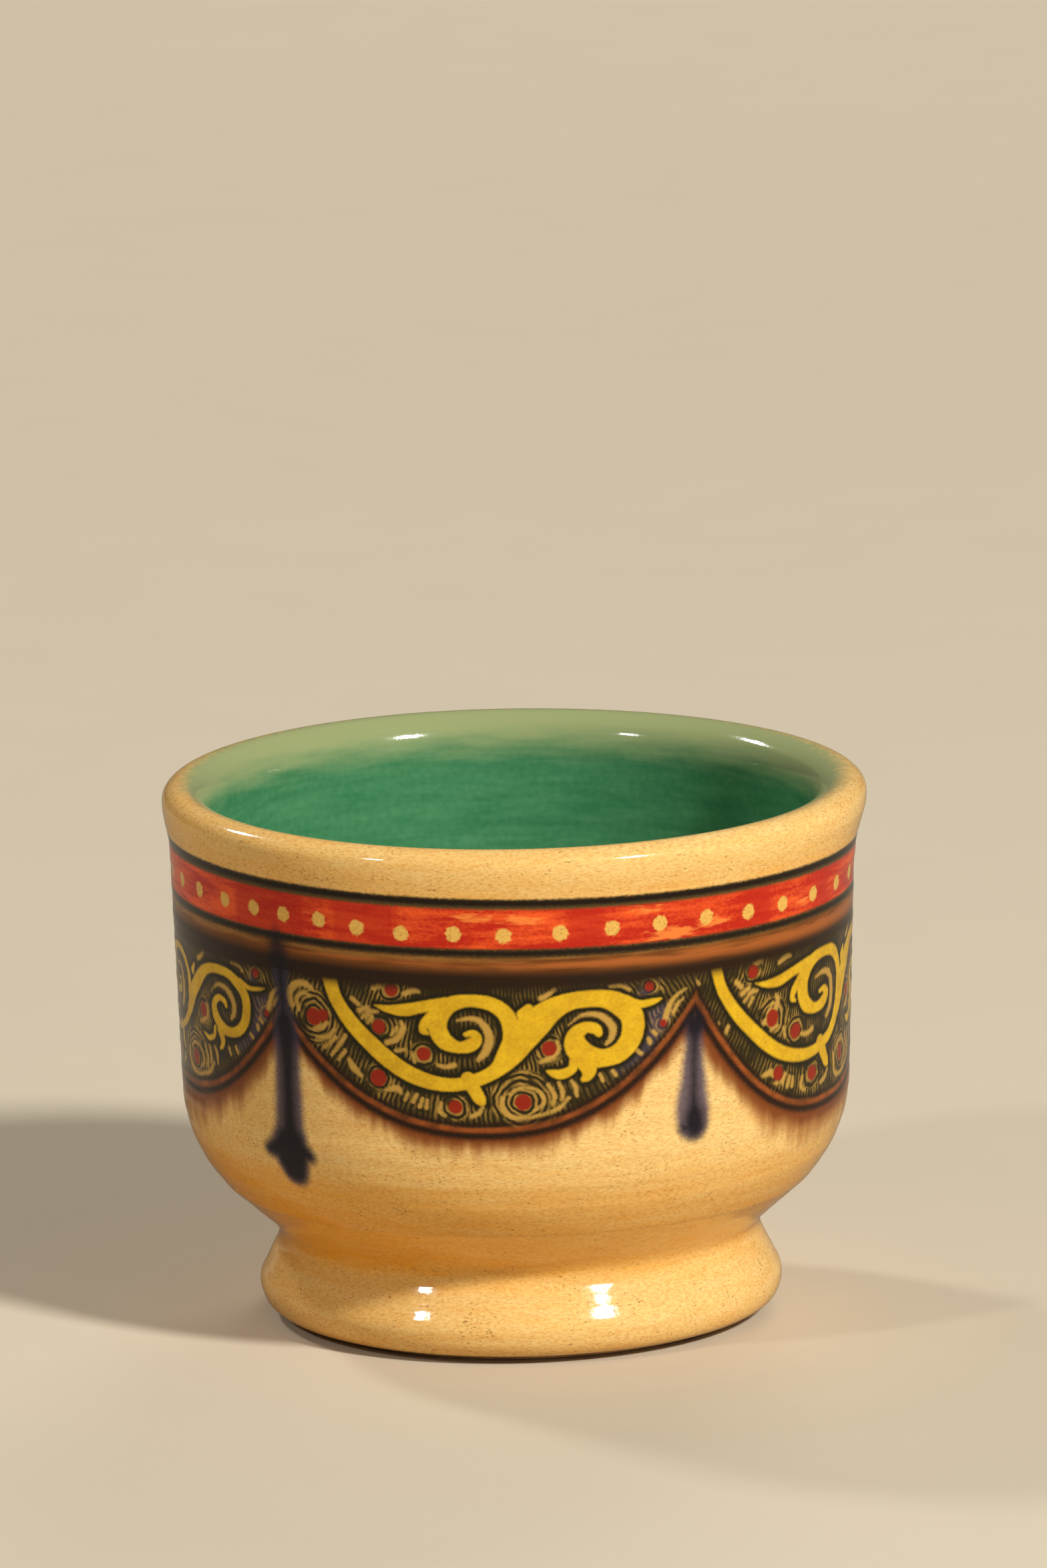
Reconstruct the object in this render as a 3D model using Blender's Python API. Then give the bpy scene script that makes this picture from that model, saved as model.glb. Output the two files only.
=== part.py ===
"""Handle-less ceramic cup: a thrown bowl luted to a turned foot ring, green inside and painted outside.

The glazed surface is one turned outline. Each coat of glaze or coloured slip is a skin of that surface,
thickened inwards, and the clay lies one coat and one gap below it. Metres, +Z up, origin at the centre of
the face that the cup stands on. The photographed side faces -Y.
"""

import math

import bmesh
import bpy
import numpy as np

MM = 0.001

# Overall form, measured on the glazed surface
HEIGHT = 70.0 * MM
RIM_RADIUS = 45.0 * MM
LIP_THICKNESS = 5.0 * MM
LIP_CROWN = 2.0 * MM
FLARE_HEIGHT = 7.0 * MM
FLARE_OUT = 0.9 * MM
WALL_DRAW = 1.3 * MM
BELLY_RADIUS = 18.3 * MM
UNDERSIDE_SLOPE = math.radians(41.4)
WAIST_RADIUS = 30.6 * MM
WAIST_HEIGHT = 11.7 * MM

# Foot
FOOT_RADIUS = 34.0 * MM
FOOT_SHOULDER = 1.15 * MM
FOOT_ROLL_HEIGHT = 4.2 * MM
FOOT_ROLL_OUT = 3.4 * MM
STANDING_WIDTH = 4.0 * MM
SEAT_WIDTH = 4.6 * MM

# Inside
INNER_FLARE = 0.6 * MM
INNER_DRAW = 1.2 * MM
FLOOR_THICKNESS = 5.8 * MM
FLOOR_FILLET = 16.0 * MM

# Coats, and the clearance that every two neighbours keep
COAT = 0.4 * MM
GAP = 0.3 * MM
SLIP_THICKNESS = 0.5 * MM
GLAZE_LINE = 1.2 * MM

# Painted zones, measured along the surface down from the crest of the lip
HONEY_INSIDE = 4.0 * MM
HONEY_OUTSIDE = 8.45 * MM
RIM_LINE_WIDTH = 1.25 * MM
RED_BAND_WIDTH = 5.2 * MM
BAND_LINE_WIDTH = 1.2 * MM
BROWN_LINE_WIDTH = 2.5 * MM
CUSP_DROP = 3.7 * MM
SWAG_DEPTH = 17.0 * MM
SWAG_POWER = 2.3
FIRST_CUSP = math.radians(-90.0 - 42.0)

# Tassel strokes: the sizes they share, then each one's drop below its cusp and the width of its bulb
TASSEL_START = 1.5 * MM
TASSEL_NECK = 4.0 * MM
TASSEL_TIP = 3.0 * MM
BULB_LENGTH = 6.5 * MM
TASSEL_DROPS = (25.5 * MM, 19.0 * MM, 24.0 * MM, 20.0 * MM, 22.5 * MM)
BULB_WIDTHS = (8.2 * MM, 5.6 * MM, 7.5 * MM, 6.0 * MM, 7.0 * MM)
APRON_MARGIN = 1.5 * MM

# Fineness of the facets
COLUMNS_PER_SWAG = 10
LIP_STEPS = 3
INNER_FLARE_STEPS = 2
FLARE_STEPS = 3
FLOOR_STEPS = 4
BELLY_STEPS = 5
FOOT_STEPS = 3
ROLL_STEPS = 4
PANEL_ROWS = 4
APRON_ROWS = 3
NECK_ROWS = 4
BULB_ROWS = 5
TASSEL_COLUMNS = 4
WELD = 0.01 * MM
LONGEST_FILLET = 0.95

# Places that follow from the sizes above
CREST_RADIUS = RIM_RADIUS - LIP_THICKNESS / 2
LIP_BASE = HEIGHT - LIP_CROWN
WALL_TOP = LIP_BASE - FLARE_HEIGHT
WALL_TOP_RADIUS = RIM_RADIUS - FLARE_OUT
CORNER_RADIUS = WALL_TOP_RADIUS - WALL_DRAW
CORNER_HEIGHT = WAIST_HEIGHT + (CORNER_RADIUS - WAIST_RADIUS) * math.tan(UNDERSIDE_SLOPE)
BASE_RADIUS = FOOT_RADIUS - FOOT_ROLL_OUT
BASE_INNER_RADIUS = BASE_RADIUS - STANDING_WIDTH
INNER_LIP_RADIUS = RIM_RADIUS - LIP_THICKNESS
INNER_TOP_RADIUS = INNER_LIP_RADIUS - INNER_FLARE
FLOOR_RADIUS = INNER_TOP_RADIUS - INNER_DRAW
FLOOR_HEIGHT = WAIST_HEIGHT + FLOOR_THICKNESS
CLAY_DEPTH = COAT + GAP
NOTCH_DEPTH = 4 * CLAY_DEPTH
BOWL_SEAT = WAIST_HEIGHT + SLIP_THICKNESS / 2 + GAP
RING_SEAT = WAIST_HEIGHT - SLIP_THICKNESS / 2 - GAP
SWAG_COUNT = len(TASSEL_DROPS)
SWAG_ANGLE = 2 * math.pi / SWAG_COUNT
COLUMNS = SWAG_COUNT * COLUMNS_PER_SWAG


def ellipse(centre, half_width, half_height, start, end, steps):
    """Points on an ellipse about centre, from one angle in degrees to another."""
    angles = np.radians(np.linspace(start, end, steps + 1))
    return np.array(centre) + np.column_stack([half_width * np.cos(angles), half_height * np.sin(angles)])


def ease(start, end, steps):
    """Points from start to end along a half cosine wave, upright at both ends."""
    t = np.linspace(0, 1, steps + 1)
    across = (1 - np.cos(math.pi * t)) / 2
    return np.column_stack([start[0] + (end[0] - start[0]) * across, start[1] + (end[1] - start[1]) * t])


def bend(start, control, end, steps):
    """Points on the quadratic Bezier curve with that one control point."""
    t = np.linspace(0, 1, steps + 1)[:, None]
    return (1 - t) ** 2 * np.array(start) + 2 * t * (1 - t) * np.array(control) + t**2 * np.array(end)


def fillet(before, corner, after, radius, steps):
    """Points on the arc that rounds the corner between two straight lines, as far as both are long enough."""
    before, corner, after = (np.array(point) for point in (before, corner, after))
    to_before = (before - corner) / np.linalg.norm(before - corner)
    to_after = (after - corner) / np.linalg.norm(after - corner)
    half = math.acos(to_before @ to_after) / 2
    shorter = min(np.linalg.norm(before - corner), np.linalg.norm(after - corner))
    radius = min(radius, LONGEST_FILLET * shorter * math.tan(half))
    middle = (to_before + to_after) / np.linalg.norm(to_before + to_after)
    centre = corner + middle * radius / math.sin(half)
    first = corner + to_before * radius / math.tan(half) - centre
    last = corner + to_after * radius / math.tan(half) - centre
    start = math.degrees(math.atan2(first[1], first[0]))
    sweep = math.degrees(math.atan2(first[0] * last[1] - first[1] * last[0], first @ last))
    return ellipse(centre, radius, radius, start, start + sweep, steps)


def without_repeats(points):
    """The points, leaving out any that lies on the one before it."""
    steps = np.linalg.norm(np.diff(points, axis=0), axis=1)
    return points[np.concatenate([[True], steps > WELD])]


def sunk(points, depth):
    """The outline moved into the clay by depth, with mitred corners: the air is on the outline's left."""
    along = np.diff(points, axis=0)
    along /= np.linalg.norm(along, axis=1)[:, None]
    right = np.column_stack([along[:, 1], -along[:, 0]])
    before = np.vstack([right[:1], right])
    after = np.vstack([right, right[-1:]])
    return points + depth * (before + after) / (1 + np.sum(before * after, axis=1))[:, None]


def glazed_outline():
    """The outline in (radius, height): from mid floor up the inside, over the lip and down to the base."""
    floor_corner = (FLOOR_RADIUS, FLOOR_HEIGHT)
    inner_top = (INNER_TOP_RADIUS, WALL_TOP)
    waist = (WAIST_RADIUS, WAIST_HEIGHT)
    widest = (FOOT_RADIUS, FOOT_ROLL_HEIGHT)
    inside = [
        [(0, FLOOR_HEIGHT)],
        fillet((0, FLOOR_HEIGHT), floor_corner, inner_top, FLOOR_FILLET, FLOOR_STEPS),
        ease(inner_top, (INNER_LIP_RADIUS, LIP_BASE), INNER_FLARE_STEPS),
        ellipse((CREST_RADIUS, LIP_BASE), LIP_THICKNESS / 2, LIP_CROWN, 180, 90, LIP_STEPS),
    ]
    outside = [
        ellipse((CREST_RADIUS, LIP_BASE), LIP_THICKNESS / 2, LIP_CROWN, 90, 0, LIP_STEPS),
        ease((RIM_RADIUS, LIP_BASE), (WALL_TOP_RADIUS, WALL_TOP), FLARE_STEPS),
        fillet((WALL_TOP_RADIUS, WALL_TOP), (CORNER_RADIUS, CORNER_HEIGHT), waist, BELLY_RADIUS, BELLY_STEPS),
        [waist],
        bend(waist, (FOOT_RADIUS, FOOT_ROLL_HEIGHT + FOOT_SHOULDER), widest, FOOT_STEPS),
        ellipse((BASE_RADIUS, FOOT_ROLL_HEIGHT), FOOT_ROLL_OUT, FOOT_ROLL_HEIGHT, 0, -90, ROLL_STEPS),
    ]
    return without_repeats(np.vstack(inside + outside))


OUTLINE = glazed_outline()
CLAY_OUTLINE = sunk(OUTLINE, CLAY_DEPTH)
CREST = int(np.argmax(OUTLINE[:, 1]))
WAIST = int(np.argmin(np.linalg.norm(OUTLINE - (WAIST_RADIUS, WAIST_HEIGHT), axis=1)))
LENGTHS = np.concatenate([[0], np.cumsum(np.linalg.norm(np.diff(OUTLINE, axis=0), axis=1))])
DROPS = LENGTHS - LENGTHS[CREST]
SEAT_RADIUS = float(CLAY_OUTLINE[WAIST, 0])
SEAT_INNER_RADIUS = SEAT_RADIUS - SEAT_WIDTH

# Where each painted zone ends, as a drop below the crest
RIM_LINE_END = HONEY_OUTSIDE + RIM_LINE_WIDTH
RED_BAND_END = RIM_LINE_END + RED_BAND_WIDTH
BAND_LINE_END = RED_BAND_END + BAND_LINE_WIDTH
BROWN_LINE_END = BAND_LINE_END + BROWN_LINE_WIDTH
CUSP = BROWN_LINE_END + CUSP_DROP
SWAG_END = CUSP + SWAG_DEPTH
GLAZE_END = float(np.interp(-GLAZE_LINE, -OUTLINE[WAIST:, 1], DROPS[WAIST:]))


def at_drop(drop):
    """(radius, height) of the glazed surface at a drop from the crest; drops inside the cup are negative."""
    return np.stack([np.interp(drop, DROPS, OUTLINE[:, 0]), np.interp(drop, DROPS, OUTLINE[:, 1])], axis=-1)


def stretch(start, end):
    """The outline between two drops."""
    inner = OUTLINE[(DROPS > start + WELD) & (DROPS < end - WELD)]
    return np.vstack([at_drop(start), inner, at_drop(end)])


def clay_crossing(height, part):
    """The clay's radius at a height on a falling part of its outline."""
    return float(np.interp(-height, -part[:, 1], part[:, 0]))


def swag_drop(turn):
    """How far down the scalloped edge hangs at a turn from the first cusp."""
    share = np.abs(2 * np.mod(turn / SWAG_ANGLE, 1) - 1)
    return CUSP + SWAG_DEPTH * (1 - share**SWAG_POWER)


def painted_material(name, colour, roughness):
    """A plain glossy or matt surface of an sRGB hex colour."""
    channels = [int(colour[i : i + 2], 16) / 255 for i in (0, 2, 4)]
    linear = [c / 12.92 if c <= 0.04045 else ((c + 0.055) / 1.055) ** 2.4 for c in channels]
    material = bpy.data.materials.new(name)
    material.use_nodes = True
    shader = material.node_tree.nodes["Principled BSDF"]
    shader.inputs["Base Color"].default_value = (*linear, 1)
    shader.inputs["Roughness"].default_value = roughness
    shader.inputs["Metallic"].default_value = 0
    return material


def add_piece(name, mesh, material):
    """A named object under the cup's empty."""
    piece = bpy.data.objects.new(name, mesh)
    bpy.context.collection.objects.link(piece)
    piece.parent = CUP
    mesh.materials.append(material)
    mesh.shade_smooth()
    return piece


def add_turned(name, points, material, closed=False):
    """A profile in (radius, height), running down its outer side, turned about Z."""
    count = len(points)
    edges = [(i, (i + 1) % count) for i in range(count if closed else count - 1)]
    mesh = bpy.data.meshes.new(name)
    mesh.from_pydata([(radius, 0, height) for radius, height in points], edges, [])
    piece = add_piece(name, mesh, material)
    screw = piece.modifiers.new("Turn", "SCREW")
    screw.steps = COLUMNS
    screw.render_steps = COLUMNS
    screw.use_merge_vertices = True
    screw.merge_threshold = WELD
    piece.rotation_euler.z = FIRST_CUSP
    return piece


def add_thickness(piece):
    """Gives a skin its coat, on the clay's side."""
    solidify = piece.modifiers.new("Coat", "SOLIDIFY")
    solidify.thickness = COAT
    solidify.offset = -1
    solidify.use_even_offset = True


def add_ring_coat(name, start, end, material):
    """A coat that runs right round the cup between two drops, less half a gap at each end."""
    add_thickness(add_turned(name, stretch(start + GAP / 2, end - GAP / 2), material))


def wrapped_mesh(name, turns, drops, weld=False):
    """A grid wrapped onto the glazed surface: turns and drops hold one value for each row and column."""
    rows, columns = drops.shape
    radii, heights = np.moveaxis(at_drop(drops), -1, 0)
    angles = FIRST_CUSP + turns
    places = np.stack([radii * np.cos(angles), radii * np.sin(angles), heights], axis=-1)
    form = bmesh.new()
    bmesh.ops.create_grid(form, x_segments=columns - 1, y_segments=rows - 1)
    # The grid's rows run upwards and drops run down, so the last row comes first
    for vert, place in zip(form.verts, places[::-1].reshape(-1, 3)):
        vert.co = place
    if weld:
        bmesh.ops.remove_doubles(form, verts=form.verts, dist=WELD)
    mesh = bpy.data.meshes.new(name)
    form.to_mesh(mesh)
    form.free()
    return mesh


def scallop_half_width(drop):
    """Half the width of the wedge between two neighbouring swags, at a drop at or below their cusp."""
    share = np.clip(1 - (drop - CUSP) / SWAG_DEPTH, 0, 1) ** (1 / SWAG_POWER)
    return at_drop(drop)[..., 0] * SWAG_ANGLE / 2 * (1 - share)


def stroke_half_width(drop, end, bulb):
    """Half the width of a tassel stroke: a straight neck, a bulb that swells out of it, and a blunt tip."""
    t = np.clip((drop - end + BULB_LENGTH) / BULB_LENGTH, 0, 1)
    straight = (1 - t) * TASSEL_NECK + t * TASSEL_TIP
    swell = bulb - (TASSEL_NECK + TASSEL_TIP) / 2
    return (straight + swell * np.sin(math.pi * t)) / 2


def stroke_grid(cusp_turn, drops, half_widths):
    """Turns and drops of a grid that runs down a stroke, with the same columns across each row."""
    across = np.linspace(-1, 1, TASSEL_COLUMNS + 1)
    half_turns = half_widths / at_drop(drops)[:, 0]
    return cusp_turn + half_turns[:, None] * across, np.repeat(drops[:, None], TASSEL_COLUMNS + 1, axis=1)


def add_tassel(index, material):
    """A stroke that hangs from a cusp: its top is a wedge between the two swags."""
    end = CUSP + TASSEL_DROPS[index]
    neck = np.linspace(CUSP + TASSEL_START, end - BULB_LENGTH, NECK_ROWS)
    drops = np.concatenate([neck, np.linspace(end - BULB_LENGTH, end, BULB_ROWS)[1:]])
    widths = stroke_half_width(drops, end, BULB_WIDTHS[index])
    widths = np.minimum(widths, scallop_half_width(drops) - GAP)
    turns, drops = stroke_grid(index * SWAG_ANGLE, drops, widths)
    name = f"tassel_{index + 1}"
    add_thickness(add_piece(name, wrapped_mesh(name, turns, drops), material))


def add_notch(index, material):
    """The cutter that clears a tassel: its outline grown by the gap, and open at the cusp."""
    end = CUSP + TASSEL_DROPS[index]
    neck = np.linspace(CUSP - CUSP_DROP / 2, end - BULB_LENGTH, NECK_ROWS)
    drops = np.concatenate([neck, np.linspace(end - BULB_LENGTH, end, BULB_ROWS)[1:]])
    widths = stroke_half_width(drops, end, BULB_WIDTHS[index]) + GAP
    drops[-1] += GAP
    turns, drops = stroke_grid(index * SWAG_ANGLE, drops, widths)
    name = f"notch_{index + 1}"
    notch = add_piece(name, wrapped_mesh(name, turns, drops), material)
    through = notch.modifiers.new("Through", "SOLIDIFY")
    through.thickness = NOTCH_DEPTH
    through.offset = 0
    notch.hide_render = True
    notch.display_type = "WIRE"
    return notch


def add_swag_panel(index, material):
    """The coat between the brown line and one scallop, from cusp to cusp."""
    half_gap_turn = GAP / 2 / at_drop(CUSP)[0]
    turns = np.linspace(half_gap_turn, SWAG_ANGLE - half_gap_turn, COLUMNS_PER_SWAG + 1)
    share = np.linspace(0, 1, PANEL_ROWS + 1)[:, None]
    top = BROWN_LINE_END + GAP / 2
    bottom = swag_drop(turns) - GAP / 2
    drops = top + share * (bottom - top)
    turns = np.broadcast_to(index * SWAG_ANGLE + turns, drops.shape)
    name = f"swag_panel_{index + 1}"
    add_thickness(add_piece(name, wrapped_mesh(name, turns, drops), material))


def add_body_glaze(material):
    """The honey glaze below the scallops, over the belly, waist and foot, notched round each tassel."""
    turns = np.linspace(0, 2 * math.pi, COLUMNS + 1)
    top = swag_drop(turns) + GAP / 2
    level = SWAG_END + APRON_MARGIN
    apron = top + np.linspace(0, 1, APRON_ROWS + 1)[:, None] * (level - top)
    below = DROPS[(DROPS > level + WELD) & (DROPS < GLAZE_END - WELD)]
    below = np.repeat(np.append(below, GLAZE_END)[:, None], COLUMNS + 1, axis=1)
    drops = np.vstack([apron, below])
    mesh = wrapped_mesh("body_glaze", np.broadcast_to(turns, drops.shape), drops, weld=True)
    glaze = add_piece("body_glaze", mesh, material)
    add_thickness(glaze)
    for index in range(SWAG_COUNT):
        cut = glaze.modifiers.new(f"Notch {index + 1}", "BOOLEAN")
        cut.object = add_notch(index, material)
        cut.operation = "DIFFERENCE"
        cut.solver = "EXACT"


def add_bowl(material):
    """The thrown clay: floor, wall and lip, flat underneath where it sits on the foot."""
    falling = CLAY_OUTLINE[CREST : WAIST + 1]
    above = falling[falling[:, 1] > BOWL_SEAT + WELD]
    seat_edge = (clay_crossing(BOWL_SEAT, falling), BOWL_SEAT)
    add_turned("bowl", np.vstack([CLAY_OUTLINE[:CREST], above, seat_edge, (0, BOWL_SEAT)]), material)


def add_foot_ring(material):
    """The turned foot: glazed down to a bare clay edge, and hollowed under the bowl."""
    ledge = GLAZE_LINE - GAP
    falling = CLAY_OUTLINE[WAIST:]
    sides = falling[(falling[:, 1] < RING_SEAT - WELD) & (falling[:, 1] > ledge + WELD)]
    bare = OUTLINE[WAIST:][OUTLINE[WAIST:, 1] < ledge - WELD]
    points = [
        (SEAT_INNER_RADIUS, RING_SEAT),
        (clay_crossing(RING_SEAT, falling), RING_SEAT),
        *sides,
        (clay_crossing(ledge, falling), ledge),
        (clay_crossing(ledge, OUTLINE[WAIST:]), ledge),
        *bare,
        (BASE_INNER_RADIUS, 0),
    ]
    add_turned("foot_ring", points, material, closed=True)


def add_luting_slip(material):
    """The layer of slip that joins the bowl to the foot ring."""
    top = WAIST_HEIGHT + SLIP_THICKNESS / 2
    bottom = WAIST_HEIGHT - SLIP_THICKNESS / 2
    upper = [(SEAT_INNER_RADIUS, top), (SEAT_RADIUS, top)]
    lower = [(SEAT_RADIUS, bottom), (SEAT_INNER_RADIUS, bottom)]
    add_turned("luting_slip", upper + lower, material, closed=True)


for old in list(bpy.data.objects):
    bpy.data.objects.remove(old, do_unlink=True)

CUP = bpy.data.objects.new("cup", None)
bpy.context.collection.objects.link(CUP)

CLAY = painted_material("stoneware clay", "c9a06a", 0.8)
SLIP = painted_material("luting slip", "b98f5c", 0.85)
HONEY = painted_material("honey glaze", "d9a95c", 0.15)
GREEN = painted_material("green glaze", "2a7d52", 0.15)
DARK = painted_material("olive black slip", "2f2c1c", 0.2)
RED = painted_material("red slip", "cc3d1f", 0.2)
BROWN = painted_material("brown slip", "8a5428", 0.2)
PANEL = painted_material("green black slip", "3a3b22", 0.2)
COBALT = painted_material("cobalt slip", "2b2836", 0.2)

add_bowl(CLAY)
add_luting_slip(SLIP)
add_foot_ring(CLAY)
add_ring_coat("green_lining", DROPS[0] - GAP / 2, -HONEY_INSIDE, GREEN)
add_ring_coat("rim_glaze", -HONEY_INSIDE, HONEY_OUTSIDE, HONEY)
add_ring_coat("rim_line", HONEY_OUTSIDE, RIM_LINE_END, DARK)
add_ring_coat("red_band", RIM_LINE_END, RED_BAND_END, RED)
add_ring_coat("band_line", RED_BAND_END, BAND_LINE_END, DARK)
add_ring_coat("brown_line", BAND_LINE_END, BROWN_LINE_END, BROWN)
for swag in range(SWAG_COUNT):
    add_swag_panel(swag, PANEL)
    add_tassel(swag, COBALT)
add_body_glaze(HONEY)
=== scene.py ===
"""Looks of a handle-less ceramic cup on a flared foot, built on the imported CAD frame.

Sizes are in millimetres and become metres as a mesh is made. A turn is the angle round the cup from the
photographed side, growing to the right, and a drop is the way down the surface from the crest of the lip.
"""

import math

import bpy
import numpy as np
from mathutils import Matrix, Vector


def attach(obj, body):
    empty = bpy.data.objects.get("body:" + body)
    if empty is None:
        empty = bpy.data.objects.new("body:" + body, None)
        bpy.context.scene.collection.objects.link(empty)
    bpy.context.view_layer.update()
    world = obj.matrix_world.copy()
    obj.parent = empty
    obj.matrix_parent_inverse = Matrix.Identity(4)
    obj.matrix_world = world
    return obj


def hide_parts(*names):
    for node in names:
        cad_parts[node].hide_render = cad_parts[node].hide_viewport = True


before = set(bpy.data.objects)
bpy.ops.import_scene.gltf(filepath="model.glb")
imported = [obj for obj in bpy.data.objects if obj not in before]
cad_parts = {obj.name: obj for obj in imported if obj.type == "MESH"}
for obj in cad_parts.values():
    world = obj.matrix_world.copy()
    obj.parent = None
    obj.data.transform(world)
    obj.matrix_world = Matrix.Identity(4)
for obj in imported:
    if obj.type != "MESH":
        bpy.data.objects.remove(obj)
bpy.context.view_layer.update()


# Bowl: buff stoneware clay, thrown in one go from floor to lip. Its CAD solid stays as it is: the coats hide
# all of it but the bare floor above the foot's recess, so it gets the finish of raw fired clay.
MM = 0.001
GLAZE_IOR = 1.42
CLAY_COLOUR = "#c39a68"
CLAY_CLOUD = "#a87f50"
CLAY_GRIT = "#6e4a2a"


def linear(code):
    """Linear RGBA of an sRGB hex code: c / 12.92 up to 0.04045, above it ((c + 0.055) / 1.055) to the power 2.4."""
    channels = [int(code[i : i + 2], 16) / 255 for i in (1, 3, 5)]
    return (*[c / 12.92 if c <= 0.04045 else ((c + 0.055) / 1.055) ** 2.4 for c in channels], 1.0)


def node(tree, kind, inputs=None, **settings):
    """Adds one shader node: settings are its properties; inputs, by name or number, are linked or set."""
    made = tree.nodes.new("ShaderNode" + kind)
    for key, value in settings.items():
        setattr(made, key, value)
    for key, value in (inputs or {}).items():
        if isinstance(value, bpy.types.NodeSocket):
            tree.links.new(value, made.inputs[key])
        else:
            made.inputs[key].default_value = value
    return made


def grain(tree, size, stretch=(1, 1, 1), detail=2.0):
    """Noise from 0 to 1 on Object coordinates with grains of about size mm, longer along an axis of low stretch."""
    where = node(tree, "TexCoord").outputs["Object"]
    where = node(tree, "Mapping", {"Vector": where, "Scale": stretch}).outputs[0]
    return node(tree, "TexNoise", {"Vector": where, "Scale": 1 / (size * MM), "Detail": detail}).outputs[0]


def finish(name, colour_of, roughness, rough_by, bumps, bump_height):
    """A material: colour_of draws the colour, roughness is (least, most) by one noise, bumps is the relief in mm."""
    material = bpy.data.materials.new(name)
    material.use_nodes = True
    tree = material.node_tree
    tree.nodes.clear()
    dull = node(tree, "MapRange", {0: rough_by(tree), 1: 0.3, 2: 0.7, 3: roughness[0], 4: roughness[1]}).outputs[0]
    relief = node(tree, "Bump", {"Height": bumps(tree), "Distance": bump_height * MM, "Strength": 1.0}).outputs[0]
    shader = node(
        tree, "BsdfPrincipled", {"Base Color": colour_of(tree), "Roughness": dull, "Normal": relief, "IOR": GLAZE_IOR}
    )
    node(tree, "OutputMaterial", {"Surface": shader.outputs[0]})
    return material


def clay_colour(tree):
    """Raw clay: 6 mm clouds of darker clay, and grit drawn 0.5 mm wide where a low noise peaks."""
    cloud = node(tree, "MapRange", {0: grain(tree, 6.0), 1: 0.35, 2: 0.7}).outputs[0]
    body = node(tree, "Mix", {0: cloud, 6: linear(CLAY_COLOUR), 7: linear(CLAY_CLOUD)}, data_type="RGBA").outputs[2]
    grit = node(tree, "MapRange", {0: grain(tree, 0.5), 1: 0.62, 2: 0.7}).outputs[0]
    return node(tree, "Mix", {0: grit, 6: body, 7: linear(CLAY_GRIT)}, data_type="RGBA").outputs[2]


# Bare stoneware: matt and a little sandy, with darker grit in it.
bare_clay = finish(
    "fired stoneware clay", clay_colour, (0.75, 0.95), lambda t: grain(t, 2.0), lambda t: grain(t, 0.4), 0.05
)
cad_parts["bowl"].data.materials.clear()
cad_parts["bowl"].data.materials.append(bare_clay)


# Luting slip: the thin layer of liquid clay that glues the bowl to the foot ring. It is the CAD solid, hidden
# behind the crease at the waist, and has the same raw clay.
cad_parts["luting_slip"].data.materials.clear()
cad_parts["luting_slip"].data.materials.append(bare_clay)


# Foot ring: turned from a second piece of the clay, flared and rolled over at its lower edge. Glaze covers it
# down to its undercut lower edge; below that line, underneath and in its recess the clay is bare.
HEIGHT = 70.0
RIM_RADIUS = 45.0
LIP_THICKNESS = 5.0
LIP_CROWN = 2.0
FLARE_HEIGHT = 7.0
WALL_TOP_RADIUS = RIM_RADIUS - 0.9
BELLY_RADIUS = 18.3
FOOT_RADIUS = 34.0
FOOT_SHOULDER = 1.15
CREASE = 2.6
STANDING_WIDTH = 4.8
RECESS_RADIUS = 25.1
RING_TOP = 11.15
RING_TOP_RADIUS = 28.4
INNER_TOP_RADIUS = RIM_RADIUS - LIP_THICKNESS - 1.2
FLOOR_FILLET = 16.0
GLAZE_LINE = 1.15
COAT = 0.4
GAP = 0.3
FINE = 0.05
SOFTENED = 0.7
# Corners of the outline, each (radius, height)
CORNER = (WALL_TOP_RADIUS - 1.3, 22.46)
WAIST = (30.6, 11.7)
FLOOR_CORNER = (INNER_TOP_RADIUS - 0.6, 17.5)
# The lip's inner half, the foot's rolled edge and the cut under it, each (width, height)
LIP_INSIDE = (3.8, 4.8)
ROLL = (2.6, 4.2)
UNDERCUT = (2.0, 0.92)
# Ridges left by the turning tool on the belly and the foot, each (height, how far it stands out, half width)
TURNED_RIDGES = ((18.2, 0.10, 0.8), (5.2, 0.12, 1.0))


def arc(centre, half_width, half_height, start, end):
    """Points on an ellipse about centre from one angle in degrees to another."""
    a = np.radians(np.linspace(start, end, 49))
    return np.column_stack([centre[0] + half_width * np.cos(a), centre[1] + half_height * np.sin(a)])


def ease(start, end):
    """Points between two points of different height on a half cosine wave, upright at both ends."""
    t = np.linspace(0, 1, 49)
    across = (1 - np.cos(math.pi * t)) / 2
    return np.column_stack([start[0] + (end[0] - start[0]) * across, start[1] + (end[1] - start[1]) * t])


def rounded(before, corner, after, radius):
    """Points on the arc of that radius that touches both lines which meet at corner."""
    before, corner, after = (np.array(p, float) for p in (before, corner, after))
    u = (before - corner) / np.linalg.norm(before - corner)
    v = (after - corner) / np.linalg.norm(after - corner)
    half = math.acos(u @ v) / 2
    centre = corner + (u + v) / np.linalg.norm(u + v) * radius / math.sin(half)
    first, last = corner + u * radius / math.tan(half) - centre, corner + v * radius / math.tan(half) - centre
    start = math.degrees(math.atan2(first[1], first[0]))
    sweep = math.degrees(math.atan2(first[0] * last[1] - first[1] * last[0], first @ last))
    return arc(centre, radius, radius, start, start + sweep)


def bend(start, control, end):
    """Points on the quadratic Bezier curve with that one control point."""
    t = np.linspace(0, 1, 49)[:, None]
    return (1 - t) ** 2 * np.array(start) + 2 * t * (1 - t) * np.array(control) + t**2 * np.array(end)


def even(points, step):
    """The polyline through points, taken again at equal steps of its length."""
    length = np.concatenate([[0], np.cumsum(np.linalg.norm(np.diff(points, axis=0), axis=1))])
    steps = np.linspace(0, length[-1], int(length[-1] / step) + 1)
    return np.column_stack([np.interp(steps, length, points[:, i]) for i in (0, 1)])


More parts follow.
